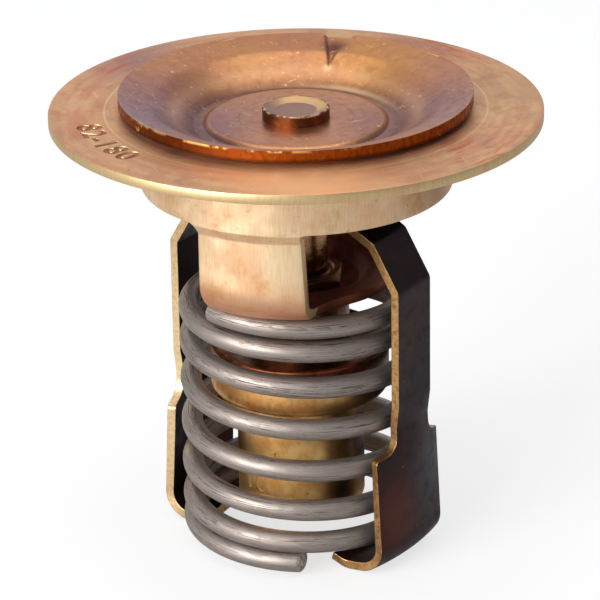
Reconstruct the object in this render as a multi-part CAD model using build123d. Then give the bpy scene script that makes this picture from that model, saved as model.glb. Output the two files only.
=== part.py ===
from build123d import *
import math
import os

# Wax thermostat for an engine's cooling circuit. Millimetres, +Z towards the valve disc.
# The origin is the centre of the flange's underside. The valve is modelled closed.

# ---- sheet thicknesses and clearances ----
FRAME_SHEET = 1.1
DISC_SHEET = 1.2
STIRRUP_SHEET = 1.0
CUP_WALL = 0.9
FACE_GAP = 0.02
RUNNING_FIT = 0.05
SHARPEST_BEND = 0.1

# ---- flange frame: one drawn cup with a flange ----
FLANGE_RADIUS = 27.0
SKIRT_RADIUS = 17.15
SEAT_BEND = 1.3
SKIRT_DEPTH = 7.5
STEP_IN = 0.8
STEP_HEIGHT = 1.1
BRIDGE_DEPTH = 18.6
FLOOR_BEND = 4.0
BRIDGE_ANGLE = -110.0
LEG_HALF_ANGLE = 20.75
FLOOR_EDGE_RADIUS = 10.6
WINDOW_CORNER = 1.5
HUB_RADIUS = 6.8
HUB_DEPTH = 1.35
HUB_SLOPE = 1.2
HUB_BEND = 0.5
STEP_BEND = 0.5

# ---- valve disc ----
RIM_OVERHANG = 3.31
RIM_SLOPE = 17.0
RIM_KNEE = 0.6
DISC_BEND = 3.0
DISC_FLAT_RADIUS = 9.6
DISC_FLAT_HEIGHT = -1.2
GROOVE_SIDE = 0.7
GROOVE_FLOOR = 1.0
GROOVE_DEPTH = 0.35
GROOVE_BEND = 0.6
NOTCH_ANGLE = 75.0
NOTCH_WIDTH = 3.6
NOTCH_LENGTH = 5.4
NOTCH_DEPTH = 0.6

# ---- spindle that carries the disc, the sleeve and the stirrup ----
HEAD_RADIUS = 3.7
HEAD_HEIGHT = 1.2
HEAD_EDGE = 0.35
HEAD_DISH_RADIUS = 2.35
HEAD_DISH_DEPTH = 0.4
HEAD_LAND = 0.7
NECK_RADIUS = 2.6
SHANK_RADIUS = 3.25
SHANK_END_GAP = 0.3
SHANK_CHAMFER = 0.2
VENT_RADIUS = 0.45
VENT_HEIGHT = 0.9
SLEEVE_RADIUS = 4.2

# ---- stirrup ----
STIRRUP_ANGLE = -34.7
STIRRUP_CLEARANCE = 0.42
CROWN_DEPTH = 6.4
CROWN_RADIUS = 4.6
ROOF_DROP = 3.7
SHOULDER_RUN = 3.2
SHOULDER_DROP = 5.2
STRAP_WIDTH = 6.4
STRAP_BEND = 1.2
CLAW_DEPTH = 32.8
CLAW_BLEND = 2.6
CLAW_NECK = 1.5
CLAW_SHOULDER_DROP = 1.5
CLAW_FILLET = 1.4
CLAW_CORNER = 0.6
CLAW_WIDTH = 12.2
CLAW_SPLAY = 3.0
HOOK_DEPTH = 49.85
HOOK_HEEL = 0.55
HOOK_BEND = 3.0
HOOK_LOW_RADIUS = 11.6
HOOK_TIP_RADIUS = 10.1
HOOK_TIP_RISE = 0.7
HOOK_TIP_BEND = 2.0

# ---- return spring ----
SPRING_RADIUS = 12.25
WIRE = 2.4
WIRE_FLATS = 8
TOP_END_TURNS = 1.1
BOTTOM_END_TURNS = 1.0
SPRING_TOP_ANGLE = -140.0
SPRING_BOTTOM_ANGLE = -90.0
SPRING_GRIND = 0.2
SPRING_FULL_TURNS = 7

# ---- wax capsule, its guide and the piston ----
GUIDE_NECK_RADIUS = 3.7
GUIDE_COLLAR_RADIUS = 5.6
NUT_HEIGHT = 1.1
NUT_FLATS = 9.6
NUT_CHAMFER = 0.2
NUT_CHAMFER_RISE = 0.45
NUT_ANGLE = -5.0
CUP_RADIUS = 10.0
CUP_RIM_DEPTH = 26.2
RIM_RECESS = 0.9
CRIMP_LIP = 0.7
GUIDE_FLANGE = 2.0
DIAPHRAGM_THICKNESS = 1.0
CUP_SHOULDER_DEPTH = 31.9
CUP_BODY_RADIUS = 7.15
CUP_BODY_DEPTH = 45.4
CUP_CORNER = 0.9
SHOULDER_FILLET = 0.6
SHOULDER_CORNER = 0.9
LIP_THICKNESS = 0.3
PISTON_RADIUS = 1.75
PISTON_TOP_DEPTH = 3.0
PISTON_CHAMFER = 0.3
PLUG_BASE_RADIUS = 4.2
PLUG_HEIGHT = 1.5
CHAFE_DISC = 0.5

# ---- levels that follow from the values above ----
FLANGE_TOP = FRAME_SHEET
BORE_RADIUS = SKIRT_RADIUS - FRAME_SHEET
LEG_RADIUS = SKIRT_RADIUS - STEP_IN
STEP_TOP = -SKIRT_DEPTH
FLOOR_BOTTOM = -BRIDGE_DEPTH
FLOOR_TOP = FLOOR_BOTTOM + FRAME_SHEET
HUB_TOP = FLOOR_TOP - HUB_DEPTH
HUB_BOTTOM = FLOOR_BOTTOM - HUB_DEPTH
DISC_RADIUS = BORE_RADIUS + RIM_OVERHANG
FLAT_TOP = FLANGE_TOP + DISC_FLAT_HEIGHT
FLAT_BOTTOM = FLAT_TOP - DISC_SHEET
CROWN_TOP = FLAT_BOTTOM - CROWN_DEPTH
CROWN_BOTTOM = CROWN_TOP - STIRRUP_SHEET
LEG_REACH = math.sqrt((BORE_RADIUS - STIRRUP_CLEARANCE) ** 2 - (STRAP_WIDTH / 2) ** 2)
CLAW_SLANT = math.tan(math.radians(CLAW_SPLAY))
HEEL_RADIUS = LEG_REACH + (HOOK_DEPTH - HOOK_HEEL - CLAW_DEPTH) * CLAW_SLANT
NUT_TOP = HUB_TOP + NUT_HEIGHT
SHANK_END = NUT_TOP + SHANK_END_GAP
RECESS_TOP = -CUP_RIM_DEPTH - RIM_RECESS
GUIDE_BOTTOM = RECESS_TOP - GUIDE_FLANGE
SHELF = GUIDE_BOTTOM - DIAPHRAGM_THICKNESS
PLUG_TOP = GUIDE_BOTTOM + PLUG_HEIGHT
PISTON_BOTTOM = PLUG_TOP + CHAFE_DISC
GUIDE_BORE_RADIUS = PISTON_RADIUS + RUNNING_FIT
CUP_BORE_RADIUS = CUP_RADIUS - CUP_WALL
WAX_RADIUS = CUP_BODY_RADIUS - CUP_WALL


def turned(*points):
    """Revolve a closed outline of (radius, height) points about the Z axis."""
    return revolve(Plane.XZ * make_face(Polyline(*points, close=True)), Axis.Z)


def strip(points, radii, thickness):
    """The section of a bent sheet in the XZ plane: a filleted line and its offset to the right."""
    line = [Vector(x, z) for x, z in points]
    runs = [(after - before).normalized() for before, after in zip(line, line[1:])]
    sides = [Vector(run.Y, -run.X) * thickness for run in runs]
    far_line = [line[0] + sides[0]]
    far_radii = []
    for i, radius in enumerate(radii):
        mitre = thickness**2 / (thickness**2 + sides[i].dot(sides[i + 1]))
        far_line.append(line[i + 1] + (sides[i] + sides[i + 1]) * mitre)
        turn = runs[i].cross(runs[i + 1]).Z
        far_radii.append(max(radius + math.copysign(thickness, turn), SHARPEST_BEND))
    far_line.append(line[-1] + sides[-1])
    near = FilletPolyline(*line, radius=radii)
    far = FilletPolyline(*far_line, radius=far_radii)
    ends = Line(line[0], far_line[0]) + Line(line[-1], far_line[-1])
    return Plane.XZ * make_face(near + far + ends)


def bar(radius, low, high):
    """A round bar on the Z axis between two heights."""
    return Pos(0, 0, low) * Cylinder(radius, high - low, align=(Align.CENTER, Align.CENTER, Align.MIN))


def both_sides(shape):
    """A shape and its copy half a turn round the Z axis."""
    return [shape, Rot(0, 0, 180) * shape]


def window_cutter():
    """The outline of the metal that is pierced away between the bridge's two legs, as a tall prism."""
    low = HUB_BOTTOM - FRAME_SHEET
    open_half = math.radians(90.0 - LEG_HALF_ANGLE)
    corner_x = 2 * FLANGE_RADIUS * math.cos(open_half)
    corner_y = 2 * FLANGE_RADIUS * math.sin(open_half)
    sector = Polyline((0, 0), (corner_x, corner_y), (4 * FLANGE_RADIUS, 0), (corner_x, -corner_y), close=True)
    opening = make_face(sector) - Circle(FLOOR_EDGE_RADIUS)
    inner_corners = opening.vertices().sort_by(SortBy.DISTANCE)[:2]
    opening = fillet(inner_corners, WINDOW_CORNER)
    return Rot(0, 0, BRIDGE_ANGLE + 90.0) * Pos(0, 0, low) * extrude(opening, STEP_TOP - low)


def flange_frame():
    """Flange, seat, skirt, stepped bridge legs and floor, drawn from one sheet and pierced at two windows."""
    outer_line = [
        (GUIDE_NECK_RADIUS + RUNNING_FIT, HUB_TOP),
        (HUB_RADIUS, HUB_TOP),
        (HUB_RADIUS + HUB_SLOPE, FLOOR_TOP),
        (LEG_RADIUS - FRAME_SHEET, FLOOR_TOP),
        (LEG_RADIUS - FRAME_SHEET, STEP_TOP - STEP_HEIGHT),
        (BORE_RADIUS, STEP_TOP),
        (BORE_RADIUS, FLANGE_TOP),
        (FLANGE_RADIUS, FLANGE_TOP),
    ]
    outside_bend = STEP_BEND + FRAME_SHEET
    radii = [HUB_BEND, outside_bend, FLOOR_BEND - FRAME_SHEET, outside_bend, STEP_BEND, SEAT_BEND]
    cup = revolve(strip(outer_line, radii, FRAME_SHEET), Axis.Z)
    for cutter in both_sides(window_cutter()):
        cup = cup - cutter
    return cup


def valve_disc():
    """Pressed disc whose coned rim lies on the seat's bend, with a bead round its flat and a bleed notch."""
    slope = math.radians(RIM_SLOPE)
    stand_off = SEAT_BEND + FACE_GAP + DISC_SHEET
    touch_radius = BORE_RADIUS + SEAT_BEND - stand_off * math.sin(slope)
    touch_height = FLANGE_TOP - SEAT_BEND + stand_off * math.cos(slope)
    over = DISC_SHEET
    rim_height = touch_height + (DISC_RADIUS - touch_radius) * math.tan(slope)
    groove_floor = DISC_FLAT_RADIUS + GROOVE_SIDE
    top_line = [
        (NECK_RADIUS + FACE_GAP, FLAT_TOP),
        (DISC_FLAT_RADIUS, FLAT_TOP),
        (groove_floor, FLAT_TOP - GROOVE_DEPTH),
        (groove_floor + GROOVE_FLOOR, FLAT_TOP - GROOVE_DEPTH),
        (touch_radius - RIM_KNEE, touch_height - RIM_KNEE * math.tan(slope)),
        (DISC_RADIUS + over, rim_height + over * math.tan(slope)),
    ]
    radii = [DISC_SHEET + GROOVE_BEND, GROOVE_BEND, GROOVE_BEND, DISC_BEND]
    blank = revolve(strip(top_line, radii, DISC_SHEET), Axis.Z)
    disc = blank & bar(DISC_RADIUS, FLAT_BOTTOM - DISC_SHEET, rim_height + DISC_SHEET)
    wedge = make_face(Polyline((0, -NOTCH_WIDTH / 2), (0, NOTCH_WIDTH / 2), (-NOTCH_LENGTH, 0), close=True))
    notch = Pos(DISC_RADIUS, 0, rim_height) * Rot(0, -RIM_SLOPE, 0) * Pos(0, 0, -NOTCH_DEPTH) * extrude(
        wedge, NOTCH_DEPTH + DISC_SHEET
    )
    return disc - Rot(0, 0, NOTCH_ANGLE) * notch


def piston_socket():
    """Turned spindle: shank bored blind for the piston, neck through stirrup and disc, rolled head."""
    head_top = FLAT_TOP + HEAD_HEIGHT
    spindle = turned(
        (0, head_top - HEAD_DISH_DEPTH),
        (HEAD_DISH_RADIUS, head_top - HEAD_DISH_DEPTH),
        (HEAD_RADIUS - HEAD_EDGE - HEAD_LAND + HEAD_DISH_DEPTH, head_top),
        (HEAD_RADIUS - HEAD_EDGE, head_top),
        (HEAD_RADIUS, head_top - HEAD_EDGE),
        (HEAD_RADIUS, FLAT_TOP),
        (NECK_RADIUS, FLAT_TOP),
        (NECK_RADIUS, CROWN_BOTTOM),
        (SHANK_RADIUS, CROWN_BOTTOM),
        (SHANK_RADIUS, SHANK_END + SHANK_CHAMFER),
        (SHANK_RADIUS - SHANK_CHAMFER, SHANK_END),
        (PISTON_RADIUS + RUNNING_FIT, SHANK_END),
        (PISTON_RADIUS + RUNNING_FIT, -PISTON_TOP_DEPTH),
        (0, -PISTON_TOP_DEPTH),
    )
    vent = Pos(SHANK_RADIUS, 0, SHANK_END + VENT_HEIGHT) * Rot(0, 90, 0) * Cylinder(VENT_RADIUS, 2 * SHANK_RADIUS)
    return spindle - Rot(0, 0, STIRRUP_ANGLE) * vent


def spacer_sleeve():
    """Tube that holds the stirrup's crown down from the disc."""
    return bar(SLEEVE_RADIUS, CROWN_TOP, FLAT_BOTTOM) - bar(NECK_RADIUS + FACE_GAP, CROWN_TOP, FLAT_BOTTOM)


def claw():
    """One claw, on the +X side: an arc of sheet that splays downwards and curls in under the spring."""
    line = [
        (LEG_REACH - STIRRUP_SHEET * CLAW_SLANT, -CLAW_DEPTH + STIRRUP_SHEET),
        (HEEL_RADIUS, -HOOK_DEPTH + HOOK_HEEL),
        (HOOK_LOW_RADIUS, -HOOK_DEPTH),
        (HOOK_TIP_RADIUS, -HOOK_DEPTH + HOOK_TIP_RISE),
    ]
    section = strip(line, [HOOK_BEND, HOOK_TIP_BEND], STIRRUP_SHEET)
    shell = Rot(0, 0, -60) * revolve(section, Axis.Z, revolution_arc=120)
    neck_half = STRAP_WIDTH / 2
    claw_half = CLAW_WIDTH / 2
    below = -HOOK_DEPTH - STIRRUP_SHEET
    shoulder = -CLAW_DEPTH - CLAW_NECK
    right_side = [
        (neck_half, -CLAW_DEPTH),
        (neck_half, shoulder),
        (claw_half, shoulder - CLAW_SHOULDER_DROP),
        (claw_half, below),
    ]
    left_side = [(-across, height) for across, height in reversed(right_side)]
    outline = make_face(Polyline(*left_side, *right_side, close=True))
    outline = fillet(outline.vertices().group_by(Axis.Y)[2], CLAW_FILLET)
    outline = fillet(outline.vertices().group_by(Axis.Y)[1], CLAW_CORNER)
    return shell & extrude(Plane.YZ * outline, 2 * LEG_REACH)


def stirrup():
    """Crown, roof, straps and claws bent and drawn from one strip: it lifts the spring with the disc."""
    blend_top = -CLAW_DEPTH + CLAW_BLEND
    line = [
        (0, CROWN_TOP),
        (CROWN_RADIUS, CROWN_TOP),
        (LEG_REACH - SHOULDER_RUN, CROWN_TOP - ROOF_DROP),
        (LEG_REACH, CROWN_TOP - ROOF_DROP - SHOULDER_DROP),
        (LEG_REACH, blend_top),
    ]
    strap = extrude(strip(line, [STRAP_BEND] * 3, STIRRUP_SHEET), STRAP_WIDTH / 2, both=True)
    flat_end = Pos(LEG_REACH - STIRRUP_SHEET / 2, 0, blend_top) * Rectangle(STIRRUP_SHEET, STRAP_WIDTH)
    ring = Circle(LEG_REACH) - Circle(LEG_REACH - STIRRUP_SHEET / math.cos(math.radians(CLAW_SPLAY)))
    curved_end = Pos(0, 0, -CLAW_DEPTH) * (ring & Pos(LEG_REACH, 0) * Rectangle(LEG_REACH, STRAP_WIDTH))
    blend = loft([flat_end.face(), curved_end.face()])
    body = bar(CROWN_RADIUS, CROWN_BOTTOM, CROWN_TOP)
    for side in both_sides(strap + blend + claw()):
        body = body + side
    body = body - bar(NECK_RADIUS + FACE_GAP, CROWN_BOTTOM - STIRRUP_SHEET, CROWN_TOP + STIRRUP_SHEET)
    return Rot(0, 0, STIRRUP_ANGLE) * body


def coil(start_angle, low, pitch, turns):
    """A stretch of left-hand coil. Its wire has flats, in place of a round, to keep the faces few."""
    path = Helix(pitch, pitch * turns, SPRING_RADIUS, lefthand=True)
    section = Plane.XZ * Pos(SPRING_RADIUS, 0) * RegularPolygon(WIRE / 2, WIRE_FLATS)
    return Pos(0, 0, low) * Rot(0, 0, start_angle) * sweep(section, path, is_frenet=True)


def main_spring():
    """Return spring with closed ends: ground flat under the floor, cut square where it lies in the claws."""
    closed = WIRE + FACE_GAP
    claw_edge = STIRRUP_ANGLE + 180 + math.degrees(math.asin(CLAW_WIDTH / 2 / SPRING_RADIUS))
    past_claw = (SPRING_BOTTOM_ANGLE - claw_edge) % 360 / 360
    rise = HOOK_HEEL * (SPRING_RADIUS - HOOK_LOW_RADIUS) / (HEEL_RADIUS - HOOK_LOW_RADIUS)
    rest = -HOOK_DEPTH + STIRRUP_SHEET + rise + FACE_GAP
    bottom = rest + WIRE / 2 - past_claw * closed
    top = FLOOR_BOTTOM - WIRE / 2 + SPRING_GRIND
    total_turns = SPRING_FULL_TURNS + (SPRING_BOTTOM_ANGLE - SPRING_TOP_ANGLE) / 360
    active_turns = total_turns - BOTTOM_END_TURNS - TOP_END_TURNS
    active_low = bottom + BOTTOM_END_TURNS * closed
    active_high = top - TOP_END_TURNS * closed
    active_angle = SPRING_BOTTOM_ANGLE - 360 * BOTTOM_END_TURNS
    top_angle = active_angle - 360 * active_turns
    spring = coil(SPRING_BOTTOM_ANGLE, bottom, closed, BOTTOM_END_TURNS)
    spring = spring + coil(active_angle, active_low, (active_high - active_low) / active_turns, active_turns)
    spring = spring + coil(top_angle, active_high, closed, TOP_END_TURNS)
    return spring - bar(2 * SPRING_RADIUS, FLOOR_BOTTOM, FLOOR_BOTTOM + WIRE)


def retaining_nut():
    """Thin hexagon nut that clamps the capsule's guide to the bridge's hub."""
    corner_radius = NUT_FLATS / math.sqrt(3)
    hexagon = extrude(RegularPolygon(corner_radius, 6), NUT_HEIGHT)
    crown = turned(
        (0, 0),
        (corner_radius, 0),
        (corner_radius, NUT_HEIGHT - (corner_radius - NUT_FLATS / 2 + NUT_CHAMFER) * NUT_CHAMFER_RISE),
        (NUT_FLATS / 2 - NUT_CHAMFER, NUT_HEIGHT),
        (0, NUT_HEIGHT),
    )
    blank = hexagon & crown
    return Pos(0, 0, HUB_TOP) * Rot(0, 0, NUT_ANGLE) * (blank - bar(GUIDE_NECK_RADIUS + FACE_GAP, 0, NUT_HEIGHT))


def capsule_guide():
    """Turned guide: neck through the hub, collar under it, flange held in the cup, bore for the piston."""
    flange_radius = CUP_BORE_RADIUS - FACE_GAP
    return turned(
        (GUIDE_BORE_RADIUS, NUT_TOP),
        (GUIDE_NECK_RADIUS, NUT_TOP),
        (GUIDE_NECK_RADIUS, HUB_BOTTOM),
        (GUIDE_COLLAR_RADIUS, HUB_BOTTOM),
        (GUIDE_COLLAR_RADIUS, RECESS_TOP),
        (flange_radius, RECESS_TOP),
        (flange_radius, GUIDE_BOTTOM),
        (PLUG_BASE_RADIUS, GUIDE_BOTTOM),
        (GUIDE_BORE_RADIUS, PLUG_TOP),
    )


def capsule_cup():
    """Drawn cup that holds the wax: its thick rim is turned in over the guide's flange."""
    lip_radius = CUP_BORE_RADIUS - CRIMP_LIP
    lip_top = RECESS_TOP + FACE_GAP
    rim_top = -CUP_RIM_DEPTH
    section = make_face(
        FilletPolyline(
            (0, -CUP_BODY_DEPTH),
            (CUP_BODY_RADIUS, -CUP_BODY_DEPTH),
            (CUP_BODY_RADIUS, -CUP_SHOULDER_DEPTH),
            (CUP_RADIUS, -CUP_SHOULDER_DEPTH),
            (CUP_RADIUS, rim_top),
            radius=[CUP_CORNER, SHOULDER_FILLET, SHOULDER_CORNER],
        )
        + Polyline(
            (CUP_RADIUS, rim_top),
            (CUP_RADIUS - CUP_WALL / 2, rim_top),
            (lip_radius, lip_top + LIP_THICKNESS),
            (lip_radius, lip_top),
            (CUP_BORE_RADIUS, lip_top),
            (CUP_BORE_RADIUS, SHELF),
            (WAX_RADIUS, SHELF),
            (WAX_RADIUS, -CUP_BODY_DEPTH + CUP_WALL),
            (0, -CUP_BODY_DEPTH + CUP_WALL),
            (0, -CUP_BODY_DEPTH),
        )
    )
    return revolve(Plane.XZ * section, Axis.Z)


def wax_charge():
    """The expanding wax, which fills the cup's body."""
    return bar(WAX_RADIUS - FACE_GAP, -CUP_BODY_DEPTH + CUP_WALL, SHELF)


def diaphragm():
    """Rubber sheet clamped between the guide's flange and the cup's shelf."""
    return bar(CUP_BORE_RADIUS - FACE_GAP, SHELF, GUIDE_BOTTOM)


def rubber_plug():
    """Cone of rubber that carries the wax's push into the guide's narrow bore."""
    return turned(
        (0, GUIDE_BOTTOM),
        (PLUG_BASE_RADIUS - FACE_GAP, GUIDE_BOTTOM),
        (GUIDE_BORE_RADIUS - FACE_GAP, PLUG_TOP),
        (0, PLUG_TOP),
    )


def anti_chafe_disc():
    """Small hard disc between the rubber plug and the piston."""
    return bar(GUIDE_BORE_RADIUS - FACE_GAP, PLUG_TOP, PISTON_BOTTOM)


def piston():
    """Ground pin that the wax drives up the guide against the blind end of the socket."""
    top = -PISTON_TOP_DEPTH
    return turned(
        (0, PISTON_BOTTOM),
        (PISTON_RADIUS - PISTON_CHAMFER, PISTON_BOTTOM),
        (PISTON_RADIUS, PISTON_BOTTOM + PISTON_CHAMFER),
        (PISTON_RADIUS, top - PISTON_CHAMFER),
        (PISTON_RADIUS - PISTON_CHAMFER, top),
        (0, top),
    )


parts = {
    "flange_frame": flange_frame(),
    "valve_disc": valve_disc(),
    "piston_socket": piston_socket(),
    "spacer_sleeve": spacer_sleeve(),
    "stirrup": stirrup(),
    "main_spring": main_spring(),
    "retaining_nut": retaining_nut(),
    "capsule_guide": capsule_guide(),
    "capsule_cup": capsule_cup(),
    "wax_charge": wax_charge(),
    "diaphragm": diaphragm(),
    "rubber_plug": rubber_plug(),
    "anti_chafe_disc": anti_chafe_disc(),
    "piston": piston(),
}

os.makedirs("parts", exist_ok=True)
for name, shape in parts.items():
    export_step(shape, f"parts/{name}.step")
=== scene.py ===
import bmesh
import bpy
import math
import numpy as np
from mathutils import Matrix


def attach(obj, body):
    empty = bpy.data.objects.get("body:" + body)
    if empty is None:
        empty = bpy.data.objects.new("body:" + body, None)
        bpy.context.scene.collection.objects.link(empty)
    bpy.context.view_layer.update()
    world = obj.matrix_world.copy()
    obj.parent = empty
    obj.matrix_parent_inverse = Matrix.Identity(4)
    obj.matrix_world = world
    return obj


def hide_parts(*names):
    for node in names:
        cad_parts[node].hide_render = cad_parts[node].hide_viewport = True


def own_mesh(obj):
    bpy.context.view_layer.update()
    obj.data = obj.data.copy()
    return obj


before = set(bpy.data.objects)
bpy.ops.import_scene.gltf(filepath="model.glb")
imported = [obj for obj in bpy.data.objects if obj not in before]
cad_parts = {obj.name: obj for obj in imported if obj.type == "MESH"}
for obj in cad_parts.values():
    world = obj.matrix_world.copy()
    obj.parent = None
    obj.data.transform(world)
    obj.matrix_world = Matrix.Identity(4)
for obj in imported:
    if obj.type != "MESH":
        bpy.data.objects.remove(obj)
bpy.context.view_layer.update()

MM = 0.001


# ==== Flange frame ====
# One brass sheet, drawn into a cup with a wide flat flange and pierced at the sides, which leaves two
# bridge legs and a floor with a dished hub. The die has left fine brush marks and the metal has stained.
SHEET = 1.1
FLANGE_RADIUS = 27.0
BORE_RADIUS = 16.05
LEG_BORE_RADIUS = 15.25
SEAT_BEND = 1.3
SKIRT_END = -7.34
STEP_TOP = -7.5
STEP_FOOT = -8.6
FLOOR_TOP = -17.5
FLOOR_BEND = 2.9
FLOOR_EDGE = 10.6
HUB_TOP = -18.85
HUB_RADIUS = 6.8
HUB_SLOPE = 1.2
HUB_HOLE = 3.75
LEG_CENTRE = math.radians(-110.0)
LEG_HALF = math.radians(20.75)
LEG_LEAN = 0.03
LEAN_DROP = 9.0
FLOOR_FILLET = 3.0
WIDE_FLOOR_FILLET = 5.0
SKIRT_FILLET = 0.5
CUT_SLANT = 0.03
CUT_SLANT_DROP = 1.2
LEG_COLUMNS = 31
WINDOW_COLUMNS = 83
SHADED_INNER_TOP = -0.9
SHADED_INNER_RADIUS = 12.2
SCRIBED_RADIUS = 20.9


def rounded(points, radii, longest=0.5, arc_step=0.16):
    """A line of (across, height) points whose corners are arcs, sampled closely.
    An arc starts and ends radius x tan(half the turn) from its corner. Runs are cut into equal lengths."""
    points = [np.array(p, dtype=float) for p in points]
    stops = [points[0][None, :]]
    for before, corner, after, radius in zip(points, points[1:], points[2:], radii):
        come = (corner - before) / np.linalg.norm(corner - before)
        leave = (after - corner) / np.linalg.norm(after - corner)
        turn = math.atan2(come[0] * leave[1] - come[1] * leave[0], float(come @ leave))
        if radius == 0 or abs(turn) < 1e-6:
            stops.append(corner[None, :])
            continue
        start = corner - come * radius * math.tan(abs(turn) / 2)
        side = np.array([-come[1], come[0]]) * math.copysign(1, turn)
        angles = np.linspace(0, turn, max(3, int(abs(turn) / arc_step) + 2))
        centre = start + side * radius
        spoke = start - centre
        arc = np.stack([spoke[0] * np.cos(angles) - spoke[1] * np.sin(angles),
                        spoke[0] * np.sin(angles) + spoke[1] * np.cos(angles)], axis=1)
        stops.append(centre + arc)
    stops.append(points[-1][None, :])
    stops = np.concatenate(stops)
    steps = np.maximum(1, np.ceil(np.linalg.norm(np.diff(stops, axis=0), axis=1) / longest).astype(int))
    line = [stops[i] + (stops[i + 1] - stops[i]) * (np.arange(n) / n)[:, None] for i, n in enumerate(steps)]
    return np.concatenate(line + [stops[-1:]])


def travel_along(line):
    """How far along a line each of its points lies."""
    return np.concatenate([[0], np.cumsum(np.linalg.norm(np.diff(line, axis=0), axis=1))])


def beside(line, distance):
    """The line moved to its right by a distance, along the normal at each point."""
    run = np.gradient(line, axis=0)
    run /= np.linalg.norm(run, axis=1)[:, None]
    return line + np.stack([run[:, 1], -run[:, 0]], axis=1) * distance


def about_axis(radius, angle, height):
    """Points about the Z axis: radius x cos(angle), radius x sin(angle) and the height."""
    radius, angle, height = np.broadcast_arrays(radius, angle, height)
    return np.stack([radius * np.cos(angle), radius * np.sin(angle), height], axis=-1)


def swung(line, angles):
    """Grid of points: each (radius, height) of the line at each angle about the Z axis."""
    return about_axis(line[:, :1], angles, line[:, 1:])


def sheet_shell(top, under, kept, ring):
    """Vertices, faces and material numbers of a sheet: two grids of points joined by walls wherever the kept
    cells end. The walls are material 1, the cut edge. ring says that the last column joins the first."""
    rows, columns = top.shape[:2]
    vertices = np.concatenate([top.reshape(-1, 3), under.reshape(-1, 3)])
    count = rows * columns
    i, j = np.nonzero(kept)
    near, far = i * columns, (i + 1) * columns
    beyond = (j + 1) % columns
    cell = np.stack([near + j, near + beyond, far + beyond, far + j], axis=1)
    faces = [cell, cell[:, ::-1] + count]
    by_row = np.pad(kept, ((1, 1), (0, 0)))
    by_column = np.concatenate([kept[:, -1:], kept], axis=1) if ring else np.pad(kept, ((0, 0), (1, 1)))
    for here, before, along_row in ((by_row[1:], by_row[:-1], True),
                                    (by_column[:, 1:], by_column[:, :-1], False)):
        for mask, sign in ((here & ~before, 1), (before & ~here, -1)):
            i, j = np.nonzero(mask)
            a, b = i * columns + j, (i + 1) * columns + j
            if along_row:
                a, b = i * columns + (j + 1) % columns, a
            faces.append(np.stack([a, b, b + count, a + count], axis=1)[:, ::sign])
    surface = np.concatenate([np.full(len(f), int(n > 1)) for n, f in enumerate(faces)])
    return vertices, np.concatenate(faces), surface


def set_out(name, data):
    """Puts a mesh, a lamp or a camera into the scene as an object."""
    thing = bpy.data.objects.new(name, data)
    bpy.context.scene.collection.objects.link(thing)
    return thing


def weld(mesh, outwards=False):
    """Merges a mesh's doubled points and drops its loose ones. It can also turn all faces outwards."""
    tidy = bmesh.new()
    tidy.from_mesh(mesh)
    bmesh.ops.remove_doubles(tidy, verts=tidy.verts, dist=1e-7)
    bmesh.ops.delete(tidy, geom=[v for v in tidy.verts if not v.link_faces], context="VERTS")
    if outwards:
        bmesh.ops.recalc_face_normals(tidy, faces=tidy.faces)
    tidy.to_mesh(mesh)
    tidy.free()


def make_piece(name, shape, body, materials, sharp=35.0, bevel=0.0):
    """Puts a shape into a mesh in metres, turned to face outwards, and rides it on a body. A shape holds
    points in millimetres, faces, and where needed each face's material number."""
    vertices, faces, surface = (*shape, None)[:3]
    vertices = vertices * MM
    corners = np.concatenate([vertices[faces[:, :3]], vertices[faces[:, [0, 2, 3]]]])
    if np.einsum("ij,ij->i", corners[:, 0], np.cross(corners[:, 1], corners[:, 2])).sum() < 0:
        faces = faces[:, ::-1]
    mesh = bpy.data.meshes.new(name)
    mesh.from_pydata(vertices.tolist(), [], faces.tolist())
    for material in materials:
        mesh.materials.append(material)
    if surface is not None:
        mesh.polygons.foreach_set("material_index", surface.astype(np.int32))
    weld(mesh)
    mesh.polygons.foreach_set("use_smooth", np.ones(len(mesh.polygons), dtype=bool))
    mesh.set_sharp_from_angle(angle=math.radians(sharp))
    piece = set_out(name, mesh)
    if bevel:
        rounding = piece.modifiers.new("rounded_edges", "BEVEL")
        rounding.width = bevel * MM
        rounding.segments = 2
        rounding.limit_method = "ANGLE"
        rounding.angle_limit = math.radians(50)
    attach(piece, body)
    return piece


def tone(red, green, blue):
    """A colour from 0 to 255 screen values, as the shader's linear ones: ((c + 0.055) / 1.055) to 2.4."""
    return tuple(((c / 255 + 0.055) / 1.055) ** 2.4 for c in (red, green, blue)) + (1,)


def add(tree, kind, inputs=None, **settings):
    """Adds a shader node, sets its properties, then sets or links its inputs."""
    node = tree.nodes.new("ShaderNode" + kind)
    for name, value in settings.items():
        setattr(node, name, value)
    for name, value in (inputs or {}).items():
        if isinstance(value, bpy.types.NodeSocket):
            tree.links.new(value, node.inputs[name])
        else:
            node.inputs[name].default_value = value
    return node


def object_point(tree):
    """The shaded point in the object's own coordinates, in metres."""
    return add(tree, "TexCoord").outputs["Object"]


def axis_distance(tree):
    """How far the shaded point is from the Z axis, in metres."""
    flat = add(tree, "VectorMath", {0: object_point(tree), 1: (1, 1, 0)}, operation="MULTIPLY")
    return add(tree, "VectorMath", {0: flat.outputs[0]}, operation="LENGTH").outputs["Value"]


def worked(tree, operation, first, second=0.0, use_clamp=False):
    """One plain sum on two numbers."""
    node = add(tree, "Math", {0: first, 1: second}, operation=operation, use_clamp=use_clamp)
    return node.outputs[0]


def eased(value, low, high):
    """0 where the value is low and 1 where it is high, with a smooth step between."""
    return add(value.id_data, "MapRange", {"Value": value, "From Min": low, "From Max": high},
               interpolation_type="SMOOTHSTEP").outputs["Result"]


def noise(tree, point, **inputs):
    """Noise read at a point."""
    return add(tree, "TexNoise", {"Vector": point, **inputs}).outputs["Fac"]


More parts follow.
